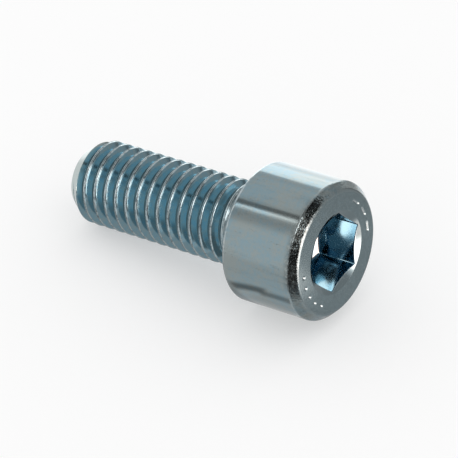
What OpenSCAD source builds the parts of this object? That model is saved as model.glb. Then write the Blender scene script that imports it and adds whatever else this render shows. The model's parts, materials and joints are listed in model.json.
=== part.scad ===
// Hexagon socket head cap screw, M10 x 25, fully threaded, right-hand, zinc plated steel.
// One solid piece: a cold-formed head with a driving socket, and a rolled thread.
// It lies on a flat floor at z = 0, on the rim of its head and on the first full thread crest.
// Lengths are in millimetres and angles in degrees. In the screw's own frame the axis
// runs from the tip to the head, and zero is the plane under the head.

/* [Head] */
// Diameter of the head
head_d = 16; // [15.75:0.05:16]
// Height of the head above the plane under it
head_h = 9.8; // [9.65:0.05:10]
// Height of the bevel around the top of the head
bevel_h = 0.9; // [0.5:0.05:1]
// Width of that bevel, measured towards the axis
bevel_w = 0.83; // [0.5:0.01:1]
// Rounding where the bevel meets the side of the head
bevel_outer_r = 0.35; // [0.1:0.05:0.5]
// Rounding where the bevel meets the top face
bevel_inner_r = 0.2; // [0.1:0.05:0.3]
// Rounding of the rim under the head
rim_r = 0.33; // [0.15:0.01:0.4]
// Rounding between the shank and the plane under the head
fillet_r = 0.6; // [0.4:0.05:0.6]

/* [Socket] */
// Width across the flats of the hexagon socket
socket_af = 8.03; // [8.02:0.01:8.17]
// Depth of the flats below the top face
socket_depth = 5.2; // [5:0.1:5.4]
// Depth of the shallow cone below the flats
socket_cone = 0.5; // [0.2:0.1:0.5]
// Diameter of the countersink around the mouth
mouth_d = 9.64; // [9.4:0.02:9.8]
// Slope of that countersink against the top face
mouth_slope = 26; // [20:1:40]
// Turn of the hexagon about the screw's axis
socket_turn = 43.9; // [0:0.1:60]

/* [Thread] */
// Diameter over the thread crests
thread_d = 9.9; // [9.75:0.01:9.97]
// Diameter at the thread roots
root_d = 8.16; // [8.0:0.01:8.3]
// Distance from one crest to the next
pitch = 1.5; // [1.5:0.5:1.5]
// Angle between the two flanks of a thread
flank_angle = 60; // [60:1:60]
// Height of the rounding in the thread root
root_round = 0.05; // [0.02:0.01:0.08]
// Place of a crest along the axis, on the screw's lowest line
crest_phase = 1.05; // [0:0.05:1.45]
// Number of sides of one turn of the thread
turn_sides = 48; // [24:12:60]

/* [Shank] */
// Length from the plane under the head to the tip
shank_l = 24.8; // [24.6:0.1:25.4]
// Diameter of the plain neck under the head
neck_d = 9.0; // [8.9:0.05:9.1]
// Length of the plain neck
neck_l = 1.6; // [1.3:0.1:2]
// Length over which the thread runs out into the neck
run_out_l = 1.8; // [1:0.1:2.5]
// How far the run-out ends below the neck's surface
run_out_drop = 0.1; // [0.08:0.01:0.15]
// Diameter of the flat end face at the tip
tip_d = 7.3; // [7:0.05:7.6]
// Angle of the tip's bevel against the axis
tip_angle = 40.5; // [35:0.5:45]
// Break of the edge around the end face
tip_break = 0.12; // [0.05:0.01:0.2]

/* [Face marks] */
// Depth of the plain dimples and bars in the top face
mark_depth = 0.15; // [0.1:0.01:0.2]
// Radius of the circle on which they lie
mark_circle_r = 6.05; // [5.9:0.05:6.2]
// Number of round dimples
dimple_count = 5; // [3:1:6]
// Diameter of one dimple
dimple_d = 0.6; // [0.4:0.05:0.8]
// Angle from one dimple to the next
dimple_step = 14; // [12:1:16]
// Place of the middle dimple around the axis
dimple_at = -64; // [-80:1:-50]
// Number of short bars across from the dimples
bar_count = 3; // [2:1:4]
// Length of one bar around the axis
bar_l = 1.5; // [1:0.1:1.8]
// Width of one bar
bar_w = 0.4; // [0.3:0.05:0.5]
// Angle from one bar to the next
bar_step = 21; // [20:1:25]
// Place of the middle bar around the axis
bar_at = 112; // [100:1:120]

/* [Hidden] */
$fn = 96;

head_r = head_d / 2;
neck_r = neck_d / 2;
crest_r = thread_d / 2;
root_r = root_d / 2;
tip_r = tip_d / 2;
face_r = head_r - bevel_w;
bearing_r = head_r - rim_r;
half_flank = flank_angle / 2;

// The thread's cross-section over one pitch, from root to root
nominal_r = 5;
crest_w = pitch / 8 + 2 * (nominal_r - crest_r) * tan(half_flank);
root_edge_r = root_r + root_round;
flank_w = (crest_r - root_edge_r) * tan(half_flank);
root_w = pitch - crest_w - 2 * flank_w;
section = [
    [0, root_r],
    [root_w / 2, root_edge_r],
    [pitch / 2 - crest_w / 2, crest_r],
    [pitch / 2 + crest_w / 2, crest_r],
    [pitch - root_w / 2, root_edge_r],
];
section_n = len(section);

// The first turn starts well below the tip, with its crest at the stated phase
start_turns = ceil((shank_l + 1.5 * pitch + crest_phase) / pitch);
strip_z = crest_phase - (start_turns + 0.5) * pitch;
turns = ceil((-strip_z - neck_l + 0.1) / pitch);
last = turns * turn_sides;
buried_r = neck_r - run_out_drop;

// How it lies: the rim of the head and one thread crest share the floor
full_crest_z = -shank_l + (crest_r - tip_r) / tan(tip_angle);
contact_turn = ceil((full_crest_z - crest_w / 2 - crest_phase) / pitch);
contact_z = max(full_crest_z, crest_phase + contact_turn * pitch - crest_w / 2);
span_a = rim_r - contact_z;
span_b = bearing_r - crest_r;
tilt = atan(span_b / span_a) + asin(rim_r / norm([span_a, span_b]));
lift = bearing_r * cos(tilt) + rim_r - rim_r * sin(tilt);
x_low = -shank_l * cos(tilt) - (tip_r - tip_break) * sin(tilt);
x_high = head_h * cos(tilt) + face_r * sin(tilt);
shift = -(x_low + x_high) / 2;

function unit(v) = v / norm(v);

// Points of a rounded corner at b, between the lines a-b and b-c
function corner(a, b, c, r, n = 5) =
    let (u = unit(a - b), v = unit(c - b),
         half = acos(u * v) / 2,
         t = r / tan(half),
         m = b + unit(u + v) * r / sin(half),
         p = b + u * t - m,
         q = b + v * t - m)
    [for (i = [0 : n]) m + r * unit(p * (1 - i / n) + q * (i / n))];

// Height of a point of the thread's strip, by its step around and its place in the section
function strip_h(t, k) = strip_z + pitch * t / turn_sides + section[k][0];

// Share of the full thread left at height z: it runs out into the neck
function kept(z) = min(1, max(0, (-neck_l - z) / run_out_l));

function strip_point(t, k) =
    let (z = strip_h(t, k),
         r = buried_r + (section[k][1] - buried_r) * kept(z),
         a = 360 * t / turn_sides)
    [r * cos(a), r * sin(a), z];

// Index of a strip point, where the section's end is the next turn's start
function at(t, k) =
    k < section_n ? t * section_n + k :
    t + turn_sides <= last ? (t + turn_sides) * section_n :
    (last + 1) * section_n + t + turn_sides - last - 1;

// Lays the screw down from its own frame to the floor
module laid() {
    translate([shift, 0, lift]) rotate([0, 90 - tilt, 0]) children();
}

// The rolled thread as one closed helical strip, too long at the tip
module thread_strip() {
    low = (last + 1) * section_n + turn_sides;
    high = low + 1;
    points = concat(
        [for (t = [0 : last]) for (k = [0 : section_n - 1]) strip_point(t, k)],
        [for (t = [last + 1 : last + turn_sides]) strip_point(t, 0)],
        [[0, 0, strip_z + pitch / 2], [0, 0, strip_z + pitch * (turns + 0.5)]]
    );
    faces = concat(
        [for (t = [0 : last - 1]) for (k = [0 : section_n - 1]) for (h = [0, 1])
            h == 0 ? [at(t, k), at(t, k + 1), at(t + 1, k + 1)]
                   : [at(t, k), at(t + 1, k + 1), at(t + 1, k)]],
        [for (t = [0 : turn_sides - 1]) [low, at(t, 0), at(t + 1, 0)]],
        [for (k = [0 : section_n - 1]) [low, at(0, k + 1), at(0, k)]],
        [for (t = [last - turn_sides : last - 1]) [high, at(t + 1, section_n), at(t, section_n)]],
        [for (k = [0 : section_n - 1]) [high, at(last, k), at(last, k + 1)]]
    );
    polyhedron(points = points, faces = faces, convexity = 20);
}

// What the bevelled tip leaves of the thread
module tip_envelope() {
    reach = crest_r + 0.3;
    rotate_extrude() polygon([
        [0, -shank_l],
        [tip_r - tip_break, -shank_l],
        [tip_r + tip_break * sin(tip_angle) * 0.5, -shank_l + tip_break],
        [reach, -shank_l + tip_break + (reach - tip_r - tip_break * sin(tip_angle) * 0.5) / tan(tip_angle)],
        [reach, 0.6],
        [0, 0.6],
    ]);
}

// The head with its neck: one turned outline
module head_blank() {
    neck_bevel = 3 * run_out_drop;
    side_low = [head_r, rim_r];
    side_high = [head_r, head_h - bevel_h];
    face_edge = [face_r, head_h];
    rotate_extrude() polygon(concat(
        [[0, -neck_l - neck_bevel], [neck_r - neck_bevel, -neck_l - neck_bevel], [neck_r, -neck_l]],
        corner([neck_r, -neck_l], [neck_r, 0], [bearing_r, 0], fillet_r, 6),
        corner([neck_r, 0], [head_r, 0], [head_r, head_h], rim_r, 5),
        corner(side_low, side_high, face_edge, bevel_outer_r),
        corner(side_high, face_edge, [0, head_h], bevel_inner_r),
        [[0, head_h]]
    ));
}

// The hexagon with its countersunk mouth and its shallow cone
module socket_cut() {
    af_r = socket_af / 2;
    mouth_r = mouth_d / 2;
    over = 0.5;
    rotate([0, 0, socket_turn]) translate([0, 0, head_h - socket_depth])
        linear_extrude(height = socket_depth + over)
            circle(r = af_r / cos(30), $fn = 6);
    translate([0, 0, head_h - socket_depth - socket_cone])
        cylinder(h = socket_cone + 0.01, r1 = 0.15, r2 = af_r - 0.1);
    rotate_extrude() polygon([
        [0, head_h + over],
        [mouth_r + over / tan(mouth_slope), head_h + over],
        [af_r - 0.3, head_h - (mouth_r - af_r + 0.3) * tan(mouth_slope)],
        [0, head_h - (mouth_r - af_r + 0.3) * tan(mouth_slope)],
    ]);
}

// Plain dimples and short bars pressed into the top face
module face_marks() {
    for (i = [0 : dimple_count - 1])
        rotate([0, 0, dimple_at + (i - (dimple_count - 1) / 2) * dimple_step])
            translate([mark_circle_r, 0, head_h - mark_depth])
                cylinder(h = 2 * mark_depth, d1 = dimple_d * 0.7, d2 = dimple_d * 1.3, $fn = 24);
    for (i = [0 : bar_count - 1])
        rotate([0, 0, bar_at + (i - (bar_count - 1) / 2) * bar_step])
            translate([mark_circle_r - bar_w / 2, -bar_l / 2, head_h - mark_depth])
                cube([bar_w, bar_l, 2 * mark_depth]);
}

module cap_screw() {
    color([0.60, 0.67, 0.71]) laid() difference() {
        union() {
            head_blank();
            intersection() {
                thread_strip();
                tip_envelope();
            }
        }
        socket_cut();
        face_marks();
    }
}

cap_screw();
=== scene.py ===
"""Looks of a zinc plated hexagon socket cap screw that lies on a pale floor.

The screw is one closed surface. Its outline starts in the middle of the tip's end face, runs over
the rolled thread, the neck, the head and the top face, and ends in the middle of the socket's
floor. Each part of it is worked out in the screw's own frame, in millimetres: an angle around the
axis, a distance from the axis and a height, where the plane under the head has height zero.
"""
import json
import logging
import math
from dataclasses import dataclass, field
from enum import Enum
from typing import Any

import bpy
import numpy as np
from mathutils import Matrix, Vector


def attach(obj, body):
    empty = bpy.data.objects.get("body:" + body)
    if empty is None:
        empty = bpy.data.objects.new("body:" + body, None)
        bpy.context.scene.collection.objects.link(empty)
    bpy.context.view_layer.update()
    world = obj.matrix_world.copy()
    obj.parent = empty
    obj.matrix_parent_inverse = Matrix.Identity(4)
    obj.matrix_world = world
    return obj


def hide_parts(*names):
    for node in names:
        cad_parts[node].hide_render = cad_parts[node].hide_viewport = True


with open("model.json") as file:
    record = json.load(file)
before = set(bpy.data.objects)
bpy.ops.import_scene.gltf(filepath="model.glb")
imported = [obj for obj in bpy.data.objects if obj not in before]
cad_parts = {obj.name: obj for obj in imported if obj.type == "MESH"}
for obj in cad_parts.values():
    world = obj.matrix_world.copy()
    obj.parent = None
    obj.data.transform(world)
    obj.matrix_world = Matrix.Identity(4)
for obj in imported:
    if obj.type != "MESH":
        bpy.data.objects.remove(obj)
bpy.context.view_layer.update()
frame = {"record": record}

NODE = "cap_screw"
BODY = "root"
MM = 0.001
# Angle of one corner of the hexagon, at which every ring starts
FIRST_ANGLE = 43.9
Colour = tuple[float, float, float, float]


class Mask(Enum):
    """Parts of the surface that the finish tells apart, kept as attributes of the mesh."""

    THREAD = "thread_zone"
    DEPTH = "thread_depth"
    SEAM = "crest_seam"
    BEVEL = "bevel_zone"
    FACE = "face_zone"
    SOCKET = "socket_zone"
    EDGE = "edge_wear"
    MARK = "pressed_mark"
    MOUTH = "mouth_zone"
    FLOOR = "socket_floor"
    # SCALE marks a painted dark reflection, near-black on the bevel's side that faces the camera
    SCALE = "dark_scale"
    CUT = "tip_cut"


def smoothstep(low: float, high: float, x: np.ndarray) -> np.ndarray:
    """Returns 0 below low, 1 above high and the soft cubic step 3t^2 - 2t^3 between them.

    Args:
        low: Value at which the step starts.
        high: Value at which the step ends.
        x: Values to map.

    Returns:
        The step's value at each x.
    """
    t = np.clip((x - low) / (high - low), 0.0, 1.0)
    return t * t * (3.0 - 2.0 * t)


def slow_noise(turns: np.ndarray, seed: int, octaves: int = 5) -> np.ndarray:
    """Smooth noise along the thread: a sum of sines with random phases, each faster and weaker.

    Args:
        turns: Place along the helix, counted in turns.
        seed: Start value of the random numbers.
        octaves: Number of sines.

    Returns:
        Values of about -1 to 1, one for each place.
    """
    draw = np.random.default_rng(seed)
    total = np.zeros_like(turns)
    for octave in range(octaves):
        rate = (1.7 + draw.random()) * 2.1 ** octave
        total += np.sin(2.0 * np.pi * (rate * turns + draw.random())) / 1.6 ** octave
    return total / 1.9


def rounded(a: np.ndarray, b: np.ndarray, c: np.ndarray, radius: float, steps: int) -> np.ndarray:
    """Points of an arc that rounds the corner at b between the lines a-b and b-c.

    The arc's centre lies on the bisector at radius / sin(half the corner's angle), and its points
    turn evenly from the normal of the first line to the normal of the second.

    Args:
        a: Points before the corner, as (..., 2) radius and height.
        b: Corner points.
        c: Points after the corner.
        radius: Radius of the arc.
        steps: Number of parts of the arc.

    Returns:
        Array (steps + 1, ..., 2) from the first tangent point to the second.
    """
    a, b, c = np.broadcast_arrays(*(np.asarray(p, dtype=float) for p in (a, b, c)))
    u = (a - b) / np.linalg.norm(a - b, axis=-1, keepdims=True)
    v = (c - b) / np.linalg.norm(c - b, axis=-1, keepdims=True)
    half = np.arccos(np.clip((u * v).sum(-1, keepdims=True), -1.0, 1.0)) / 2.0
    middle = u + v
    middle = b + middle / np.linalg.norm(middle, axis=-1, keepdims=True) * radius / np.sin(half)
    first = b + u * radius / np.tan(half) - middle
    last = b + v * radius / np.tan(half) - middle
    sweep = np.pi - 2.0 * half
    t = np.linspace(0.0, 1.0, steps + 1).reshape((-1,) + (1,) * first.ndim)
    return middle + (np.sin((1.0 - t) * sweep) * first + np.sin(t * sweep) * last) / np.sin(sweep)


@dataclass(frozen=True)
class Lay:
    """Where the screw lies: a point on its axis in the plane under the head, and the axis."""

    seat: Vector
    axis: Vector

    @classmethod
    def from_record(cls, record: dict[str, Any]) -> "Lay":
        """Reads the place from the record's thread mount, whose axis points at the tip."""
        mount = next(m for m in record["mounts"] if m["name"] == "thread")
        return cls(Vector(mount["pos_m"]), -Vector(mount["axis"]).normalized())

    def place(self, radius: np.ndarray, angle: np.ndarray, height: np.ndarray) -> np.ndarray:
        """Turns the screw's own coordinates into points of the scene.

        Angle zero points down, and 90 degrees along the scene's Y.

        Args:
            radius: Distances from the axis in millimetres.
            angle: Angles around the axis in degrees.
            height: Heights above the plane under the head in millimetres.

        Returns:
            Points in metres, as an array (n, 3).
        """
        down = np.array([self.axis.z, 0.0, -self.axis.x])
        turn = np.radians(angle)
        own = (np.multiply.outer(radius * np.cos(turn), down)
               + np.multiply.outer(radius * np.sin(turn), [0.0, 1.0, 0.0])
               + np.multiply.outer(height, self.axis))
        return np.asarray(self.seat) + own * MM


@dataclass
class Skin:
    """Gathers the points and faces of one closed surface, row by row."""

    lay: Lay
    rows: list[np.ndarray] = field(default_factory=list)
    masks: dict[Mask, list[np.ndarray]] = field(default_factory=lambda: {m: [] for m in Mask})
    faces: list[np.ndarray] = field(default_factory=list)
    count: int = 0

    def add(self, radius: Any, angle: Any, height: Any, **masks: Any) -> np.ndarray:
        """Adds points and returns their indices in the shape of the given arrays.

        Args:
            radius: Distances from the axis.
            angle: Angles around the axis, in degrees.
            height: Heights along the axis.
            **masks: Mask values by the lower-case name of the mask, zero where not given.

        Returns:
            Indices of the new points.
        """
        radius, angle, height = np.broadcast_arrays(radius, angle, height)
        self.rows.append(self.lay.place(radius.ravel(), angle.ravel(), height.ravel()))
        for mask in Mask:
            value = np.broadcast_to(masks.get(mask.name.lower(), 0.0), radius.shape)
            self.masks[mask].append(value.ravel().astype(np.float32))
        indices = self.count + np.arange(radius.size).reshape(radius.shape)
        self.count += radius.size
        return indices

    def ring(self, count: int, radius: Any, height: Any, **masks: Any) -> np.ndarray:
        """Adds one ring of evenly spaced points around the axis, see add()."""
        return self.add(radius, ring_angles(count), height, **masks)

    def quads(self, corners: np.ndarray) -> None:
        """Keeps four-cornered faces; a repeated corner makes a triangle, two drop the face."""
        self.faces.append(np.asarray(corners).reshape(-1, 4))

    def join(self, lower: np.ndarray, upper: np.ndarray) -> None:
        """Closes the gap between two rings, of which the upper comes later on the outline.

        Rings of one size are joined by quads. Where one ring is three times as fine, each of the
        coarse ring's parts takes a triangle, a quad and a triangle.

        Args:
            lower: Indices of the earlier ring.
            upper: Indices of the later ring.
        """
        if lower.size == upper.size:
            self.quads(np.stack([lower, np.roll(lower, -1), np.roll(upper, -1), upper], -1))
            return
        fine, coarse = (lower, upper) if lower.size > upper.size else (upper, lower)
        f0, f1, f2 = (fine.reshape(-1, 3)[:, k] for k in range(3))
        f3, c0, c1 = np.roll(f0, -1), coarse, np.roll(coarse, -1)
        parts = np.concatenate([np.stack([f0, f1, c0, c0], -1), np.stack([f1, f2, c1, c0], -1),
                                np.stack([f2, f3, c1, c1], -1)])
        self.quads(parts if fine is lower else parts[:, ::-1])

    def chain(self, rings: list[np.ndarray]) -> np.ndarray:
        """Joins the rings one after another.

        Args:
            rings: Indices of the rings, in the order of the outline.

        Returns:
            The last ring.
        """
        for lower, upper in zip(rings[:-1], rings[1:]):
            self.join(lower, upper)
        return rings[-1]

    def fan(self, ring: np.ndarray, centre: np.ndarray, closing: bool) -> None:
        """Fills a ring with triangles around one point, at the outline's end or start.

        Args:
            ring: Indices of the ring.
            centre: Index of the point.
            closing: Whether this is the outline's end.
        """
        tip = np.broadcast_to(centre, ring.shape)
        turned = np.roll(ring, -1)
        first, second = (ring, turned) if closing else (turned, ring)
        self.quads(np.stack([first, second, tip, tip], -1))

    def mesh(self, name: str, sharp_angle: float) -> bpy.types.Mesh:
        """Builds the Blender mesh with its masks, smooth but for edges sharper than the angle.

        Points that no face uses, which the thread leaves beyond its closing rings, are left out.

        Args:
            name: Name of the mesh.
            sharp_angle: Angle in degrees above which an edge stays sharp.

        Returns:
            The finished mesh.
        """
        corners = np.concatenate(self.faces)
        same = corners == np.roll(corners, -1, axis=1)
        doubles = same.sum(axis=1)
        quads = corners[doubles == 0]
        triangles = corners[doubles == 1][~same[doubles == 1]].reshape(-1, 3)
        used = np.unique(np.concatenate([quads.ravel(), triangles.ravel()]))
        number = np.zeros(self.count, dtype=int)
        number[used] = np.arange(used.size)
        points = np.concatenate(self.rows)[used]
        mesh = bpy.data.meshes.new(name)
        mesh.from_pydata(points.tolist(), [], number[quads].tolist() + number[triangles].tolist())
        for mask, values in self.masks.items():
            layer = mesh.attributes.new(mask.value, "FLOAT", "POINT")
            layer.data.foreach_set("value", np.concatenate(values)[used])
        mesh.shade_smooth()
        mesh.set_sharp_from_angle(angle=math.radians(sharp_angle))
        mesh.update()
        return mesh


def ring_angles(count: int) -> np.ndarray:
    """Angles of a ring's points, of which six lie on the corners of the hexagon."""
    return FIRST_ANGLE + 360.0 * np.arange(count) / count


@dataclass(frozen=True)
class Tip:
    """Flat end face of the shank with a small break and the bevel that cuts the thread."""

    shank_l: float = 24.8
    face_r: float = 3.53
    bevel_r: float = 3.689
    bevel_start: float = 0.12
    bevel_angle: float = 35.5
    dish: float = 0.05
    dish_r: float = 3.3
    edge_out: float = 0.08
    edge_round: float = 0.16
    columns: int = 180

    def cone(self, height: np.ndarray) -> np.ndarray:
        """Radius of the bevel: it grows in a straight line with height above its first circle."""
        rise = math.tan(math.radians(self.bevel_angle))
        return self.bevel_r + (height + self.shank_l - self.bevel_start) * rise

    def build(self, skin: Skin) -> np.ndarray:
        """Adds the end face and its rounded rim.

        The face is a shallow dish whose depth falls with the square of the radius.

        Args:
            skin: Surface that takes the points.

        Returns:
            The rim's last ring.
        """
        low = -self.shank_l
        radii = np.array([0.5, 1.1, 1.8, 2.5, 3.0, self.dish_r])
        depths = self.dish * (1.0 - (radii / self.dish_r) ** 2)
        counts = [20, 60, 60, 180, 180, 180]
        rings = [skin.ring(n, r, low + d) for n, r, d in zip(counts, radii, depths)]
        skin.fan(rings[0], skin.add(0.0, 0.0, low + self.dish), closing=False)
        up = low + 0.4
        edge = [self.face_r + self.edge_out, low]
        arc = rounded([0.0, low], edge, [self.cone(np.array(up)), up], self.edge_round, 4)
        rings += [skin.ring(self.columns, r, h, edge=1.0, cut=1.0) for r, h in arc]
        return skin.chain(rings)


@dataclass(frozen=True)
class RolledThread:
    """Right-hand metric thread with rounded roots and a rolled seam between two crest lips."""

    crest_r: float = 4.95
    root_r: float = 4.08
    pitch: float = 1.5
    flank_angle: float = 60.0
    root_round: float = 0.21
    lip_round: float = 0.26
    seam_depth: float = 0.06
    seam_w: float = 0.05
    crest_phase: float = 1.05
    neck_r: float = 4.5
    run_out_from: float = -3.4
    run_out_to: float = -1.6
    top: float = -1.45
    low_gap: float = 0.12
    merge: float = 0.012
    lip_wobble: float = 0.004
    seam_wobble: float = 0.012
    cut_wear: float = 0.6
    columns: int = 180
    seed: int = 11

    def section(self) -> tuple[np.ndarray, np.ndarray, np.ndarray, np.ndarray]:
        """Works out one pitch of the thread, from one root's middle up to the next.

        The root is an arc that ends where the flank starts. The flank is a straight line that
        leans by half the flank angle. Each lip is an arc around a centre that lies one lip radius
        inside the flank and below the crest, and the seam is the low point between two lips.

        Returns:
            Heights from the crest's middle, radii, depth share, and seam share of the points.
        """
        half = math.radians(self.flank_angle / 2.0)
        side = self.pitch / 2.0
        turn = np.radians([0.0, 30.0, 60.0])
        root_h = side - self.root_round * np.sin(turn)
        root = self.root_r + self.root_round * (1.0 - np.cos(turn))
        foot_h, foot = root_h[-1], root[-1]
        lip_c = self.crest_r - self.lip_round
        reach = (self.lip_round + (lip_c - foot) * math.sin(half)) / math.cos(half)
        lip_h = foot_h - reach
        lean = np.radians([60.0, 42.0, 26.0, 13.0])
        lips_h = lip_h + self.lip_round * np.sin(lean)
        lips = lip_c + self.lip_round * np.cos(lean)
        flank_h = np.array([foot_h - 0.02, lips_h[0] + 0.02])
        flank = foot + (foot_h - flank_h) / math.tan(half)
        up_h = np.concatenate([root_h, flank_h, lips_h])
        up = np.concatenate([root, flank, lips])
        heights = np.concatenate([-up_h, [0.0], up_h[:0:-1]])
        radii = np.concatenate([up, [self.crest_r - self.seam_depth], up[:0:-1]])
        depth = (self.crest_r - radii) / (self.crest_r - self.root_r)
        seam = np.exp(-(heights / self.seam_w) ** 2)
        return heights, radii, depth, seam

    def build(self, skin: Skin, tip: Tip) -> tuple[np.ndarray, np.ndarray]:
        """Adds the helical strip between two closing rings.

        At each angle the strip is a column of points, and each next column lies higher by its
        share of the pitch, so that one turn ends where the next begins. Points below the lower
        ring or above the upper one take the ring's point instead. The tip's bevel cuts off what
        stands out of it, and the point next to a cut slides along the bevel onto the cut. Near
        the head the thread's radius fades to the neck's.

        Args:
            skin: Surface that takes the points.
            tip: The bevelled tip.

        Returns:
            The lower and the upper closing ring.
        """
        offset, radius, depth, seam = self.section()
        n, k = self.columns, offset.size
        bottom = -tip.shank_l + tip.bevel_start + self.low_gap
        start = math.floor((bottom - self.crest_phase) / self.pitch) - 2
        turns = math.ceil((self.top - self.crest_phase) / self.pitch) + 2 - start
        angle = ring_angles(n)[:, None]
        wraps = np.repeat(start + np.arange(turns), k)[None, :]
        place = angle / 360.0 + wraps
        height = self.crest_phase + self.pitch * place + np.tile(offset, turns)
        lip = np.tile(np.exp(-((radius - self.crest_r) / 0.02) ** 2), turns)
        valley = np.tile(seam, turns)
        rough = slow_noise(place * 3.0, self.seed)
        wobble = lip * self.lip_wobble * slow_noise(place * 5.0, self.seed + 1)
        radius_of = np.tile(radius, turns) + wobble
        radius_of = radius_of - valley * self.seam_wobble * rough * (np.tile(depth, turns) < 0.1)
        fade = smoothstep(self.run_out_to, self.run_out_from, height)
        radius_of = self.neck_r + (radius_of - self.neck_r) * fade
        cone = tip.cone(height)
        cut = radius_of > cone
        gap = radius_of - cone
        final_r = np.where(cut, cone, radius_of)
        final_h = height.copy()
        crossing = cut[:, :-1] != cut[:, 1:]
        drop = np.where(crossing, gap[:, :-1] - gap[:, 1:], 1.0)
        share = np.where(crossing, gap[:, :-1] / drop, 0.0)
        level = height[:, :-1] + share * np.diff(height, axis=1)
        for inner, shifted in ((np.s_[:, :-1], cut[:, :-1]), (np.s_[:, 1:], cut[:, 1:])):
            moved = crossing & shifted
            final_h[inner] = np.where(moved, level, final_h[inner])
            final_r[inner] = np.where(moved, tip.cone(level), final_r[inner])
        masks = dict(
            thread=fade,
            depth=np.tile(depth, turns) * fade * ~cut,
            seam=valley * fade * ~cut,
            edge=np.clip(lip * fade + self.cut_wear * cut, 0.0, 1.0),
            cut=cut,
        )
        grid = skin.add(final_r, np.broadcast_to(angle, final_r.shape), final_h, **masks)
        low_r = tip.cone(np.array(bottom))
        low_ring = skin.ring(n, low_r, bottom, thread=1.0, edge=self.cut_wear, cut=1.0)
        high_ring = skin.ring(n, self.neck_r, self.top)
        grid = np.where(final_h < bottom + self.merge, low_ring[:, None], grid)
        grid = np.where(final_h > self.top - self.merge, high_ring[:, None], grid)
        following = np.concatenate([grid[1:], np.roll(grid[:1], -k, axis=1)])
        following[-1, -k:] = high_ring[0]
        skin.quads(np.stack([grid[:, :-1], following[:, :-1], following[:, 1:], grid[:, 1:]], -1))
        return low_ring, high_ring


@dataclass(frozen=True)
class Head:
    """Turned outline of the neck and the head up to the top face."""

    neck_r: float = 4.5
    fillet_r: float = 0.6
    head_r: float = 8.0
    head_h: float = 9.8
    rim_r: float = 0.33
    bevel_h: float = 0.9
    bevel_w: float = 0.83
    outer_round: float = 0.35
    inner_round: float = 0.55
    plane_r: tuple[float, float] = (5.3, 6.6)
    side_h: tuple[float, float, float] = (3.2, 4.0, 6.0)
    beside: float = 0.06
    # Window of the painted dark reflection on the bevel: its middle angle, half width and soft edge
    dark_reflection_at: float = 234.0
    dark_reflection_reach: float = 46.0
    dark_reflection_soft: float = 14.0
    coarse: int = 180
    fine: int = 540

    @property
    def face_r(self) -> float:
        """Radius at which the bevel would meet the top face without its rounding."""
        return self.head_r - self.bevel_w

    def scale(self) -> np.ndarray:
        """Share of the painted dark reflection around the bevel: a soft window on the side that faces
        the camera.
        """
        off = np.abs((ring_angles(self.fine) - self.dark_reflection_at + 180.0) % 360.0 - 180.0)
        return 1.0 - smoothstep(self.dark_reflection_reach - self.dark_reflection_soft, self.dark_reflection_reach, off)

    def build(self, skin: Skin, below: np.ndarray) -> tuple[np.ndarray, float]:
        """Adds the neck, the plane under the head, the side and the bevel.

        Args:
            skin: Surface that takes the points.
            below: The thread's last ring.

        Returns:
            The last ring, where the top face starts, and its radius.
        """
        rings = [below, skin.ring(self.coarse, self.neck_r, -1.0)]
        inside, outside = self.plane_r
        low_h, middle_h, high_h = self.side_h
        fillet = rounded([self.neck_r, -1.0], [self.neck_r, 0.0], [outside, 0.0], self.fillet_r, 6)
        rings += [skin.ring(self.coarse, r, h) for r, h in fillet]
        rings.append(skin.ring(self.coarse, inside, 0.0))
        rings.append(skin.ring(self.fine, outside, 0.0))
        rings.append(skin.ring(self.fine, self.head_r - self.rim_r - 0.05, 0.0))
        low = [self.head_r, middle_h]
        rim = rounded([outside, 0.0], [self.head_r, 0.0], low, self.rim_r, 6)
        rings += [skin.ring(self.fine, r, h, edge=1.0) for r, h in rim]
        high = [self.head_r, self.head_h - self.bevel_h]
        outer = rounded(low, high, [self.face_r, self.head_h], self.outer_round, 5)
        inner = rounded(high, [self.face_r, self.head_h], [6.0, self.head_h], self.inner_round, 5)
        rings.append(skin.ring(self.fine, self.head_r, rim[-1][1] + self.beside))
        rings += [skin.ring(self.fine, self.head_r, h) for h in (low_h, high_h)]
        # Painted dark reflection: its window fades in over the side's last rings and covers the bevel
        scale = self.scale()
        rings.append(skin.ring(self.fine, self.head_r, outer[0][1] - 0.5))
        rings.append(skin.ring(self.fine, self.head_r, outer[0][1] - self.beside, scale=0.4 * scale))
        wear = np.linspace(0.2, 1.0, 6)
        rings += [skin.ring(self.fine, r, h, bevel=w, edge=0.2, scale=scale * (0.4 + 0.6 * w))
                  for (r, h), w in zip(outer, wear)]
        for share in (0.08, 0.35, 0.65, 0.92):
            r, h = outer[-1] + (inner[0] - outer[-1]) * share
            rings.append(skin.ring(self.fine, r, h, bevel=1.0, scale=scale))
        fade = np.linspace(1.0, 0.0, 6)
        rings += [skin.ring(self.fine, r, h, bevel=w, edge=0.2, face=1.0 - w, scale=scale * w)
                  for (r, h), w in zip(inner, fade)]
        return skin.chain(rings), float(inner[-1][0])


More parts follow.
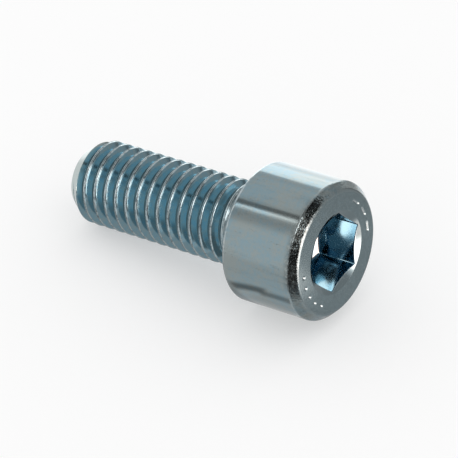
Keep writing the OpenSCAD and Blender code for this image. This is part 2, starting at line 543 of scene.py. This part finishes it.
@dataclass(frozen=True)
class FaceMarks:
    """Plain dimples and short bars pressed into the top face."""

    depth: float = 0.15
    circle_r: float = 6.05
    dimples: int = 5
    dimple_d: float = 0.6
    dimple_step: float = 14.0
    dimple_at: float = -64.0
    bars: int = 3
    bar_l: float = 1.5
    bar_w: float = 0.4
    bar_step: float = 21.0
    bar_at: float = 112.0

    def pressed(self, radius: np.ndarray, angle: np.ndarray) -> np.ndarray:
        """Share of the full depth at places of the face.

        A dimple goes by the distance from its centre over its radius. A bar goes by the distance
        from its middle line, which stops half a width before its ends, over half its width. Both
        are hollows of the shape 3t^2 - 2t^3, where t falls from 1 in the middle to 0 at the edge.

        Args:
            radius: Distances from the axis.
            angle: Angles around the axis in degrees.

        Returns:
            Values from 0, on the face, to 1, at the bottom of a mark.
        """
        total = np.zeros(np.broadcast(radius, angle).shape)
        for i in range(self.dimples):
            at = self.dimple_at + (i - (self.dimples - 1) / 2) * self.dimple_step
            x, y = self.own(radius, angle, at)
            off = np.hypot(x, y) / (self.dimple_d / 2)
            total = np.maximum(total, smoothstep(0.0, 1.0, 1.0 - off))
        for i in range(self.bars):
            at = self.bar_at + (i - (self.bars - 1) / 2) * self.bar_step
            x, y = self.own(radius, angle, at)
            beyond = np.maximum(np.abs(y) - (self.bar_l - self.bar_w) / 2, 0.0)
            off = np.hypot(x, beyond) / (self.bar_w / 2)
            total = np.maximum(total, smoothstep(0.0, 1.0, 1.0 - off))
        return total

    def own(self, radius: np.ndarray, angle: np.ndarray, at: float) -> tuple[np.ndarray, np.ndarray]:
        """Radial and sideways distance from a mark's centre, which lies at the angle at."""
        turn = np.radians(angle - at)
        return radius * np.cos(turn) - self.circle_r, radius * np.sin(turn)


@dataclass(frozen=True)
class Socket:
    """Hexagon socket with a countersunk mouth, the punch's blunt cone below and soft edges."""

    head_h: float = 9.8
    across: float = 8.03
    depth: float = 5.2
    cone_depth: float = 1.0
    cone_inset: float = 0.1
    cone_tip_r: float = 1.55
    mouth_r: float = 4.82
    mouth_slope: float = 26.0
    corner_round: float = 0.15
    mouth_round: float = 0.12
    margin: float = 0.12
    edge_round: float = 0.07
    toe_round: float = 0.4
    fine: int = 540

    def wall(self) -> np.ndarray:
        """Distance of the hexagon's wall from the axis at each angle of a fine ring.

        A flat lies at half the width divided by the cosine of the angle from its middle. Near a
        corner the distance is that of a circle of the corner's radius, seen from the axis.

        Returns:
            One distance for each point of the ring.
        """
        from_corner = np.radians((ring_angles(self.fine) - FIRST_ANGLE + 30.0) % 60.0 - 30.0)
        flat = self.across / 2.0 / np.cos(np.radians(30.0) - np.abs(from_corner))
        reach = (self.across / 2.0 - self.corner_round) / math.cos(math.radians(30.0))
        inside = np.maximum(self.corner_round ** 2 - (reach * np.sin(from_corner)) ** 2, 0.0)
        circle = reach * np.cos(from_corner) + np.sqrt(inside)
        outward = reach + self.corner_round * math.cos(math.radians(30.0))
        tangent = math.atan2(self.corner_round * 0.5, outward)
        return np.where(np.abs(from_corner) < tangent, circle, flat)

    def build(self, skin: Skin, above: np.ndarray, face_end: float) -> None:
        """Adds the mouth, the walls and the floor, down to the middle of the cone.

        Args:
            skin: Surface that takes the points.
            above: The top face's last ring.
            face_end: Its radius.
        """
        slope = math.tan(math.radians(self.mouth_slope))
        wall = self.wall()
        top = self.head_h
        edge_h = top - (self.mouth_r - wall) * slope
        face = np.stack(np.broadcast_arrays(face_end, top + 0.0 * wall), -1)
        rim = np.stack(np.broadcast_arrays(self.mouth_r, top + 0.0 * wall), -1)
        edge = np.stack([wall, edge_h], -1)
        cone_r = self.across / 2.0 - self.cone_inset
        fall = self.cone_depth / (cone_r - self.cone_tip_r)
        foot_h = top - self.depth
        foot = np.stack([wall, foot_h + fall * (wall - cone_r)], -1)
        rings = [above]
        mouth = rounded(face, rim, edge, self.mouth_round, 3)
        fades = (1.0, 0.7, 0.35, 0.1)
        rings += [self.row(skin, p, face=w, mouth=1.0 - w) for p, w in zip(mouth, fades)]
        lip = rounded(rim, edge, foot, self.edge_round, 4)
        for share in (0.1, 0.5, 0.9):
            rings.append(self.row(skin, mouth[-1] + (lip[0] - mouth[-1]) * share, mouth=1.0))
        rings += [self.row(skin, p, socket=w, edge=1.0) for p, w in zip(lip, np.linspace(0.2, 1.0, 5))]
        toe = rounded(edge, foot, foot - np.array([1.0, fall]), self.toe_round, 4)
        for share in (0.02, 0.25, 0.5, 0.75, 0.98):
            rings.append(self.row(skin, lip[-1] + (toe[0] - lip[-1]) * share, socket=1.0))
        rings += [self.row(skin, p, socket=1.0, floor=w) for p, w in zip(toe, np.linspace(0.0, 1.0, 5))]
        for share in (0.95, 0.86):
            radius = toe[-1][:, 0] * share
            p = np.stack([radius, foot_h - fall * (cone_r - radius)], -1)
            rings.append(self.row(skin, p, socket=1.0, floor=1.0))
        flat_r = self.cone_tip_r
        floor_rings = ((180, 3.2), (180, 2.2), (180, flat_r + 0.05), (180, flat_r - 0.05),
                       (60, flat_r - 0.25), (20, 0.5))
        for count, radius in floor_rings:
            height = foot_h - min(fall * (cone_r - radius), self.cone_depth)
            rings.append(skin.ring(count, radius, height, socket=1.0, floor=1.0))
        last = skin.chain(rings)
        centre = skin.add(0.0, 0.0, foot_h - self.cone_depth, socket=1.0, floor=1.0)
        skin.fan(last, centre, closing=True)

    def row(self, skin: Skin, points: np.ndarray, **masks: Any) -> np.ndarray:
        """Adds a fine ring whose radius and height differ from point to point."""
        return skin.ring(self.fine, points[:, 0], points[:, 1], **masks)


@dataclass
class CapScrew:
    """The whole screw: tip, thread, head, marked top face and socket as one closed surface."""

    lay: Lay
    tip: Tip = field(default_factory=Tip)
    thread: RolledThread = field(default_factory=RolledThread)
    head: Head = field(default_factory=Head)
    marks: FaceMarks = field(default_factory=FaceMarks)
    socket: Socket = field(default_factory=Socket)
    sharp_angle: float = 50.0
    face_from: float = 6.9
    face_to: float = 5.25
    face_step: float = 0.068

    def top_face(self, skin: Skin, rim: np.ndarray, start: float) -> tuple[np.ndarray, float]:
        """Adds the marked top face between the bevel and the mouth.

        Args:
            skin: Surface that takes the points.
            rim: The bevel's last ring.
            start: Its radius.

        Returns:
            The face's last ring and its radius.
        """
        end = self.socket.mouth_r + self.socket.margin
        evenly = np.arange(self.face_from, self.face_to, -self.face_step)
        radii = np.concatenate([[start - 0.04], evenly, [end + 0.04, end]])
        angle = ring_angles(self.head.fine)
        rings = [rim]
        for radius in radii:
            share = self.marks.pressed(radius, angle)
            height = self.head.head_h - self.marks.depth * share
            rings.append(skin.ring(self.head.fine, radius, height, face=1.0, mark=share))
        return skin.chain(rings), end

    def build(self, finish: "ZincFinish") -> bpy.types.Object:
        """Makes the screw, dresses it and puts it in the CAD node's place.

        Args:
            finish: The plating's material.

        Returns:
            The finished piece.
        """
        skin = Skin(self.lay)
        tip_ring = self.tip.build(skin)
        low, high = self.thread.build(skin, self.tip)
        skin.join(tip_ring, low)
        rim, start = self.head.build(skin, high)
        inner, end = self.top_face(skin, rim, start)
        self.socket.build(skin, inner, end)
        piece = bpy.data.objects.new("plated_screw", skin.mesh("plated_screw", self.sharp_angle))
        bpy.context.scene.collection.objects.link(piece)
        piece.data.materials.append(finish.material(self.lay))
        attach(piece, BODY)
        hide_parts(NODE)
        return piece


class Term:
    """One output of the material's nodes, on which Python's operators add Math nodes."""

    def __init__(self, recipe: "Recipe", socket: bpy.types.NodeSocket) -> None:
        """Keeps the recipe that owns the nodes, and the output."""
        self.recipe = recipe
        self.socket = socket

    def math(self, operation: str, *others: "Term | float") -> "Term":
        """Adds a Math node that starts with this output.

        Args:
            operation: Name of the node's operation.
            *others: Further values, as outputs or numbers.

        Returns:
            The node's output.
        """
        return self.recipe.math(operation, self, *others)

    def __add__(self, other: "Term | float") -> "Term":
        """Sum."""
        return self.math("ADD", other)

    def __sub__(self, other: "Term | float") -> "Term":
        """Difference."""
        return self.math("SUBTRACT", other)

    def __mul__(self, other: "Term | float") -> "Term":
        """Product."""
        return self.math("MULTIPLY", other)

    def __rsub__(self, other: float) -> "Term":
        """A number less this value."""
        return self.recipe.math("SUBTRACT", other, self)

    __radd__ = __add__
    __rmul__ = __mul__

    def ramp(self, low: float, high: float) -> "Term":
        """Soft step from 0 at low to 1 at high, or the other way round if low is higher.

        Args:
            low: Value at which the step is 0.
            high: Value at which the step is 1.

        Returns:
            The step's value.
        """
        out = (0.0, 1.0) if low < high else (1.0, 0.0)
        node = {"interpolation_type": "SMOOTHSTEP"}
        values = {"Value": self, "From Min": min(low, high), "From Max": max(low, high),
                  "To Min": out[0], "To Max": out[1]}
        return self.recipe.node("ShaderNodeMapRange", node, values)


class Recipe:
    """The node tree of one material."""

    def __init__(self, name: str) -> None:
        """Makes an empty material.

        Args:
            name: Name of the material.
        """
        self.material = bpy.data.materials.new(name)
        self.material.use_nodes = True
        self.tree = self.material.node_tree
        self.tree.nodes.clear()

    def node(self, kind: str, settings: dict[str, Any], values: dict[Any, Any],
             output: int | str = 0) -> Term:
        """Adds any node: its settings first, then the values or links of its sockets.

        Args:
            kind: Type name of the node.
            settings: Attributes of the node.
            values: Socket name or number, with a number, a colour or an output.
            output: Name or number of the output to return.

        Returns:
            The chosen output.
        """
        made = self.tree.nodes.new(kind)
        for name, setting in settings.items():
            setattr(made, name, setting)
        for name, value in values.items():
            if isinstance(value, Term):
                self.tree.links.new(value.socket, made.inputs[name])
            else:
                made.inputs[name].default_value = value
        return Term(self, made.outputs[output])

    def surface(self, shader: Term) -> None:
        """Makes the shader the material's surface."""
        out = self.tree.nodes.new("ShaderNodeOutputMaterial")
        self.tree.links.new(shader.socket, out.inputs["Surface"])

    def math(self, operation: str, *values: Term | float) -> Term:
        """Adds a Math node over the values."""
        return self.node("ShaderNodeMath", {"operation": operation}, dict(enumerate(values)))

    def vector(self, operation: str, values: dict[Any, Any], output: str = "Vector") -> Term:
        """Adds a Vector Math node."""
        return self.node("ShaderNodeVectorMath", {"operation": operation}, values, output)

    def mask(self, mask: Mask) -> Term:
        """Reads one mask of the mesh."""
        return self.node("ShaderNodeAttribute", {"attribute_name": mask.value}, {}, "Fac")

    def blend(self, share: Term | float, first: Any, second: Any) -> Term:
        """Mixes two colours by a share of the second.

        Args:
            share: Share of the second colour.
            first: Colour or output at share 0.
            second: Colour or output at share 1.

        Returns:
            The mixed colour.
        """
        settings = {"data_type": "RGBA", "blend_type": "MIX", "clamp_factor": True}
        return self.node("ShaderNodeMix", settings, {0: share, 6: first, 7: second}, 2)

    def noise(self, place: Term, scale: float, detail: float = 3.0, roughness: float = 0.55) -> Term:
        """Noise of about 0 to 1 at a scale in bumps per millimetre."""
        values = {"Vector": place, "Scale": scale, "Detail": detail, "Roughness": roughness}
        return self.node("ShaderNodeTexNoise", {}, values, 0)


def tint(red: float, green: float, blue: float) -> Colour:
    """Colour with full alpha, in linear values."""
    return (red, green, blue, 1.0)


@dataclass(frozen=True)
class Noises:
    """Noise fields of the plating, each of about 0 to 1.

    broad holds clouds of several millimetres, medium clouds of one that are drawn out along the
    axis, fine spots of half a millimetre, grain a speckle of a tenth or two, and streak short
    strokes along the axis.
    """

    broad: Term
    medium: Term
    fine: Term
    grain: Term
    streak: Term


@dataclass(frozen=True)
class ZincFinish:
    """Bright zinc with a blue film: grey and satin outside, bluer in thread and socket."""

    side: Colour = tint(0.265, 0.375, 0.425)
    cloud: Colour = tint(0.325, 0.375, 0.375)
    dusk: Colour = tint(0.185, 0.235, 0.245)
    flank: Colour = tint(0.265, 0.465, 0.565)
    haze: Colour = tint(0.33, 0.47, 0.52)
    # Dark root colour: painted shade in the thread's roots, between the flanks
    root: Colour = tint(0.085, 0.15, 0.175)
    # Dark seam colour: painted shade in the groove along the crest
    seam: Colour = tint(0.12, 0.15, 0.16)
    lip: Colour = tint(0.60, 0.70, 0.73)
    cut: Colour = tint(0.62, 0.71, 0.70)
    dull: Colour = tint(0.25, 0.31, 0.33)
    face: Colour = tint(0.31, 0.40, 0.43)
    film: Colour = tint(0.33, 0.45, 0.50)
    socket: Colour = tint(0.24, 0.465, 0.60)
    punched: Colour = tint(0.66, 0.60, 0.57)
    mouth: Colour = tint(0.30, 0.375, 0.40)
    # Pale bare zinc: wear on the edges, and in the pressed marks partly a painted glint
    worn: Colour = tint(0.70, 0.76, 0.78)
    # Near-black: a painted dark reflection on the camera-facing bevel, and dark specks all round the
    # bevel
    scale: Colour = tint(0.07, 0.065, 0.055)
    grime: Colour = tint(0.09, 0.075, 0.05)

    def material(self, lay: Lay) -> bpy.types.Material:
        """Builds the nodes.

        Args:
            lay: Where the screw lies, for patterns that follow its axis.

        Returns:
            The finished material.
        """
        recipe = Recipe("blue_zinc")
        metres = recipe.node("ShaderNodeTexCoord", {}, {}, "Object")
        place = recipe.vector("SCALE", {0: metres, "Scale": 1.0 / MM})
        along = recipe.vector("DOT_PRODUCT", {0: place, 1: tuple(lay.axis)}, "Value")
        pull = recipe.vector("SCALE", {0: tuple(lay.axis), "Scale": along * -0.85})
        drawn = recipe.vector("ADD", {0: place, 1: pull})
        zones = {mask: recipe.mask(mask) for mask in Mask}
        noises = Noises(
            broad=recipe.noise(place, 0.22, 3.0),
            medium=recipe.noise(drawn, 0.9, 4.0, 0.65),
            fine=recipe.noise(place, 2.2, 4.0, 0.6),
            grain=recipe.noise(place, 7.0, 3.0, 0.6),
            streak=recipe.noise(drawn, 3.0, 4.0, 0.6),
        )
        colour = self.colour(recipe, zones, noises)
        rough = self.roughness(zones, noises)
        bump = self.relief(recipe, zones, noises, place)
        values = {"Base Color": colour, "Metallic": 1.0, "Roughness": rough, "Normal": bump}
        recipe.surface(recipe.node("ShaderNodeBsdfPrincipled", {}, values))
        return recipe.material

    def colour(self, recipe: Recipe, zones: dict[Mask, Term], noises: Noises) -> Term:
        """Mixes the zones' colours with clouds, worn edges, specks and painted light: shade in roots
        and seams, a dark reflection on the bevel, glints in the marks.

        Args:
            recipe: The material.
            zones: Masks of the mesh.
            noises: Noise fields of the plating.

        Returns:
            The base colour.
        """
        broad, fine, grain = noises.broad, noises.fine, noises.grain
        medium, streak = noises.medium, noises.streak
        base = recipe.blend((broad * 0.6 + fine * 0.4).ramp(0.40, 0.60), self.side, self.cloud)
        base = recipe.blend((grain * 0.4 + medium * 0.6).ramp(0.48, 0.66) * 0.42, base, self.dusk)
        film = recipe.blend(fine.ramp(0.35, 0.65), self.flank, self.haze)
        # Painted shade: the roots take the dark root colour
        film = recipe.blend(zones[Mask.DEPTH].ramp(0.86, 0.93), film, self.root)
        lip = recipe.blend((fine * 0.5 + grain * 0.5).ramp(0.39, 0.52), self.dull, self.lip)
        thread = recipe.blend(zones[Mask.DEPTH].ramp(0.05, 0.15), lip, film)
        # Painted shade: the crest seam takes the dark seam colour
        thread = recipe.blend(zones[Mask.SEAM] * 0.6, thread, self.seam)
        base = recipe.blend(zones[Mask.THREAD], base, thread)
        base = recipe.blend(zones[Mask.CUT] * (0.8 + fine * 0.3), base, self.cut)
        face = recipe.blend((fine * 0.5 + grain * 0.5).ramp(0.46, 0.62) * 0.3, self.face, self.dusk)
        face = recipe.blend(medium.ramp(0.50, 0.66) * 0.3, face, self.film)
        base = recipe.blend(zones[Mask.FACE], base, face)
        base = recipe.blend(zones[Mask.MOUTH], base, self.mouth)
        base = recipe.blend(zones[Mask.SOCKET], base, self.socket)
        base = recipe.blend(zones[Mask.FLOOR], base, self.punched)
        patchy = (grain * 0.4 + fine * 0.35 + broad * 0.25).ramp(0.58, 0.50)
        # Painted dark reflection in patches on the camera-facing bevel, then dark specks over the whole
        # bevel
        base = recipe.blend(zones[Mask.SCALE] * patchy * 0.8, base, self.scale)
        base = recipe.blend(zones[Mask.BEVEL] * grain.ramp(0.50, 0.36) * 0.35, base, self.scale)
        worn = zones[Mask.EDGE] * (1.0 - zones[Mask.THREAD]) * fine.ramp(0.25, 0.6)
        base = recipe.blend(worn * 0.6, base, self.worn)
        # The pressed marks take the pale worn colour, partly as lighter pressed metal and partly as a
        # painted glint on the darker face
        base = recipe.blend(zones[Mask.MARK] * 0.8, base, self.worn)
        speck = (streak * 0.5 + grain * 0.5).ramp(0.40, 0.33) * 0.6
        outside = 1.0 - zones[Mask.THREAD] - zones[Mask.SOCKET]
        return recipe.blend(speck * outside, base, self.grime)

    def roughness(self, zones: dict[Mask, Term], noises: Noises) -> Term:
        """Satin outside, glossier in the socket, matte on the top face and in the thread's roots.

        Args:
            zones: Masks of the mesh.
            noises: Noise fields of the plating.

        Returns:
            The roughness.
        """
        rough = 0.07 + noises.broad * 0.04 + noises.streak * 0.04
        rough = rough + zones[Mask.FACE] * (0.06 + noises.fine * 0.06)
        rough = rough + zones[Mask.THREAD] * (0.03 + zones[Mask.DEPTH].ramp(0.86, 0.93) * 0.25)
        rough = rough + zones[Mask.BEVEL] * 0.04 - zones[Mask.SOCKET] * 0.02
        rough = rough + zones[Mask.FLOOR] * 0.03
        return rough.math("MAXIMUM", 0.06)

    def relief(self, recipe: Recipe, zones: dict[Mask, Term], noises: Noises, place: Term) -> Term:
        """Bump in millimetres: coarse on the bevel, grained on the face, faint elsewhere.

        Args:
            recipe: The material.
            zones: Masks of the mesh.
            noises: Noise fields of the plating.
            place: Object coordinates in millimetres.

        Returns:
            The bent normal.
        """
        coarse = recipe.noise(place, 4.0, 1.5, 0.5)
        height = zones[Mask.BEVEL] * coarse * 0.042
        height = height + zones[Mask.FACE] * noises.grain * 0.008
        height = height + (1.0 - zones[Mask.SOCKET]) * noises.streak * 0.003
        return recipe.node("ShaderNodeBump", {}, {"Height": height, "Distance": MM, "Strength": 1.0})


@dataclass(frozen=True)
class Patch:
    """Part of the studio's tent: a range of directions that shows one tone, with soft edges.

    Azimuth 0 lies behind the screw as the camera sees it, 90 at its head's side. Elevations below
    zero are the tent's floor. A patch with warm at 1 glows in the lamp's colour.
    """

    name: str
    azimuths: tuple[float, float]
    elevations: tuple[float, float]
    tone: float
    soft: float = 4.0
    warm: float = 0.0

    def share(self, azimuth: np.ndarray, elevation: np.ndarray) -> np.ndarray:
        """Works out how far directions belong to the patch.

        It is the product of two soft steps, one for the azimuth and one for the elevation, which
        fall from 1 to 0 over the soft width around the edge of the range.

        Args:
            azimuth: Azimuths in degrees.
            elevation: Elevations in degrees.

        Returns:
            Values from 0, outside, to 1, inside.
        """
        total = np.ones(np.broadcast(azimuth, elevation).shape)
        for value, (low, high) in ((azimuth, self.azimuths), (elevation, self.elevations)):
            half = (high - low) / 2.0
            off = np.abs((value - (low + high) / 2.0 + 180.0) % 360.0 - 180.0)
            total = total * (1.0 - smoothstep(half - self.soft / 2.0, half + self.soft / 2.0, off))
        return total


PATCHES = (
    Patch("floor", (-180.0, 180.0), (-95.0, -1.0), 0.70, 2.0),
    Patch("front_wall", (-184.0, -136.0), (-12.0, 30.0), 0.83, 6.0),
    Patch("front_wall_right", (150.0, 180.0), (24.0, 40.0), 0.50, 8.0),
    Patch("floor_behind", (-78.0, 8.0), (-54.0, 0.0), 1.15, 8.0),
    Patch("floor_back_left", (-100.0, -78.0), (-20.0, 0.0), 0.74, 6.0),
    Patch("front_floor", (-205.0, -138.0), (-95.0, -48.0), 0.56, 8.0),
    # Painted shadow: under_thread and the two contact lines darken the tent's floor where the screw's
    # shadow falls, as its reflections show it
    Patch("under_thread", (-143.0, -92.0), (-66.0, -16.0), 0.42, 8.0),
    Patch("contact_line", (-190.0, -163.0), (-45.5, -39.5), 0.33, 4.0),
    Patch("contact_line_right", (-166.0, -144.0), (-42.5, -36.5), 0.24, 4.0),
    Patch("back_scrim", (-58.0, 0.0), (-2.0, 27.0), 1.95, 3.0),
    Patch("scrim_foot", (-58.0, -24.0), (-14.0, 4.0), 1.5, 8.0),
    Patch("scrim_edge", (-60.0, -42.0), (28.5, 36.0), 0.68, 3.0),
    Patch("wall_shade", (-110.0, -97.0), (36.0, 60.0), 0.72, 9.0),
    Patch("wall_bar", (-115.0, -105.5), (36.0, 54.0), 0.25, 3.0),
    Patch("upper_bar", (-120.0, -106.5), (49.5, 60.0), 0.04, 4.0),
    Patch("slit", (-120.5, -115.0), (38.0, 46.8), 1.8, 1.5),
    Patch("front_shade", (-134.0, -120.0), (26.0, 48.0), 0.55, 5.0),
    Patch("front_top", (154.0, 230.0), (38.0, 60.0), 0.52, 6.0),
    Patch("back_right_top", (4.0, 40.0), (36.0, 62.0), 0.45, 8.0),
    Patch("right_wall", (8.0, 70.0), (-20.0, 34.0), 0.38, 6.0),
    Patch("behind_gap", (-22.0, 3.0), (-9.0, 3.0), 0.35, 5.0),
    Patch("back_gap", (9.0, 21.0), (-12.0, 8.0), 0.16, 5.0),
    Patch("right_floor", (8.0, 72.0), (-75.0, -20.0), 0.41, 6.0),
    Patch("right_dark_top", (44.0, 116.0), (36.0, 66.0), 0.04, 5.0),
    Patch("near_right_floor", (70.0, 104.0), (-92.0, -29.0), 0.40, 6.0),
    Patch("front_right_floor", (104.0, 150.0), (-92.0, -36.0), 0.48, 8.0),
    Patch("front_right_dark", (103.0, 145.0), (-31.0, 45.0), 0.12, 10.0),
    Patch("front_right_deep", (116.0, 146.0), (2.0, 21.0), 0.04, 6.0),
    Patch("lip_light", (123.0, 152.0), (38.0, 60.0), 3.0, 4.0),
    Patch("lip_light_low", (131.0, 143.0), (20.0, 40.0), 2.2, 4.0),
    Patch("lip_light_end", (98.0, 124.0), (50.0, 61.0), 2.0, 4.0),
    Patch("front_right_wall", (143.0, 168.0), (-24.0, 34.0), 0.45, 8.0),
    Patch("right_light_left", (64.0, 77.0), (-9.0, 5.0), 2.6, 6.0, 1.0),
    Patch("right_light", (76.0, 98.0), (-21.0, 24.0), 4.3, 4.0, 1.0),
    Patch("right_light_side", (96.0, 111.0), (-7.5, 23.0), 4.3, 2.0, 1.0),
    Patch("right_light_foot", (68.0, 87.0), (-28.0, -16.0), 1.7, 6.0, 1.0),
    Patch("right_light_top", (86.0, 103.0), (20.0, 35.0), 3.8, 4.0, 1.0),
    Patch("overhead", (-180.0, 180.0), (66.0, 95.0), 0.45, 8.0),
)


@dataclass(frozen=True)
class Tent:
    """Reflectors and flags around the screw as one closed skin, seen only in its reflections.

    The upper half is a dome, and the lower half lies flat on the floor.
    """

    patches: tuple[Patch, ...] = PATCHES
    tone: float = 0.75
    sky: Colour = tint(1.0, 1.0, 1.0)
    lamp: Colour = tint(1.0, 0.85, 0.78)
    radius: float = 0.5
    middle: tuple[float, float, float] = (0.012, 0.0, 0.009)
    gap: float = 0.00002
    columns: int = 240
    rows: int = 120

    def build(self) -> bpy.types.Object:
        """Makes the tent's mesh and gives it the patches' tones, later ones over earlier ones.

        A point lies in its direction from the middle, at the dome's radius, or where that
        direction meets the floor if this is nearer.

        Returns:
            The tent.
        """
        azimuth = np.linspace(-180.0, 180.0, self.columns, endpoint=False)[None, :]
        elevation = np.linspace(-89.0, 89.9, self.rows)[:, None]
        tone = np.full((self.rows, self.columns), self.tone)
        warm = np.zeros_like(tone)
        for patch in self.patches:
            share = patch.share(azimuth, elevation)
            tone += share * (patch.tone - tone)
            warm += share * (patch.warm - warm)
        turn, rise = np.radians(azimuth), np.radians(elevation)
        height = self.middle[2] - self.gap
        drop = np.where(rise < 0.0, height / np.maximum(-np.sin(rise), 1e-6), np.inf)
        reach = np.minimum(self.radius, drop)
        across = reach * np.cos(rise)
        points = np.stack(np.broadcast_arrays(across * np.sin(turn), across * np.cos(turn),
                                              reach * np.sin(rise)), -1) + np.array(self.middle)
        index = np.arange(tone.size).reshape(tone.shape)
        after = np.roll(index, -1, axis=1)
        quads = np.stack([index[:-1], after[:-1], after[1:], index[1:]], -1).reshape(-1, 4)
        mesh = bpy.data.meshes.new("tent")
        mesh.from_pydata(points.reshape(-1, 3).tolist(), [], quads.tolist())
        for name, values in (("tone", tone), ("warm", warm)):
            layer = mesh.attributes.new(name, "FLOAT", "POINT")
            layer.data.foreach_set("value", values.ravel())
        tent = bpy.data.objects.new("tent", mesh)
        bpy.context.scene.collection.objects.link(tent)
        mesh.materials.append(self.glow())
        tent.visible_camera = False
        tent.visible_diffuse = False
        tent.visible_shadow = False
        return tent

    def glow(self) -> bpy.types.Material:
        """Even light with the mesh's tone as strength, in the sky's colour or the lamp's.

        Returns:
            The tent's material.
        """
        recipe = Recipe("tent")
        tone = recipe.node("ShaderNodeAttribute", {"attribute_name": "tone"}, {}, "Fac")
        warm = recipe.node("ShaderNodeAttribute", {"attribute_name": "warm"}, {}, "Fac")
        colour = recipe.blend(warm, self.sky, self.lamp)
        recipe.surface(recipe.node("ShaderNodeEmission", {}, {"Color": colour, "Strength": tone}))
        recipe.material.cycles.emission_sampling = "NONE"
        return recipe.material


@dataclass(frozen=True)
class Studio:
    """Plain pale floor under an even white sky, and the tent around the screw."""

    width: float = 6.0
    colour: float = 0.96
    lift: float = 0.4
    tent: Tent = field(default_factory=Tent)

    def build(self) -> None:
        """Makes the floor, the sky and the tent."""
        half = self.width / 2.0
        mesh = bpy.data.meshes.new("floor")
        mesh.from_pydata([(-half, -half, 0.0), (half, -half, 0.0), (half, half, 0.0),
                          (-half, half, 0.0)], [], [(0, 1, 2, 3)])
        mesh.materials.append(self.floor_material())
        floor = bpy.data.objects.new("floor", mesh)
        bpy.context.scene.collection.objects.link(floor)
        world = bpy.data.worlds.new("sky")
        world.use_nodes = True
        background = world.node_tree.nodes["Background"]
        background.inputs["Color"].default_value = tint(1.0, 1.0, 1.0)
        background.inputs["Strength"].default_value = 1.0
        bpy.context.scene.world = world
        self.tent.build()

    def floor_material(self) -> bpy.types.Material:
        """White paint, lifted a little towards white for the camera so that its shadow is soft.

        Returns:
            The floor's material.
        """
        recipe = Recipe("white_floor")
        grey = tint(self.colour, self.colour, self.colour)
        paint = recipe.node("ShaderNodeBsdfDiffuse", {}, {"Color": grey})
        white = recipe.node("ShaderNodeEmission", {}, {"Color": tint(1.0, 1.0, 1.0), "Strength": 1.0})
        camera = recipe.node("ShaderNodeLightPath", {}, {}, "Is Camera Ray")
        values = {0: camera * self.lift, 1: paint, 2: white}
        recipe.surface(recipe.node("ShaderNodeMixShader", {}, values))
        return recipe.material


@dataclass(frozen=True)
class Camera:
    """The photograph's view: place, a point that it looks at, and lens."""

    place: tuple[float, float, float] = (0.1940325, -0.2602734, 0.2460270)
    target: tuple[float, float, float] = (0.0035637, -0.0017014, 0.0075691)
    lens: float = 282.08
    sensor: float = 36.0

    def build(self) -> bpy.types.Object:
        """Makes the camera and makes it the scene's.

        Returns:
            The camera.
        """
        data = bpy.data.cameras.new("camera")
        data.lens, data.sensor_width = self.lens, self.sensor
        data.clip_start, data.clip_end = 0.01, 20.0
        camera = bpy.data.objects.new("camera", data)
        camera.location = self.place
        look = Vector(self.target) - Vector(self.place)
        camera.rotation_mode = "QUATERNION"
        camera.rotation_quaternion = look.to_track_quat("-Z", "Y")
        bpy.context.scene.collection.objects.link(camera)
        bpy.context.scene.camera = camera
        return camera


def main() -> None:
    """Builds the camera, the studio and the screw."""
    logging.basicConfig(level=logging.INFO, format="%(message)s")
    Camera().build()
    Studio().build()
    piece = CapScrew(Lay.from_record(frame["record"])).build(ZincFinish())
    logging.info("%s: %d faces", piece.name, len(piece.data.polygons))
    bpy.context.scene.view_settings.view_transform = "Standard"


if __name__ == "__main__":
    main()
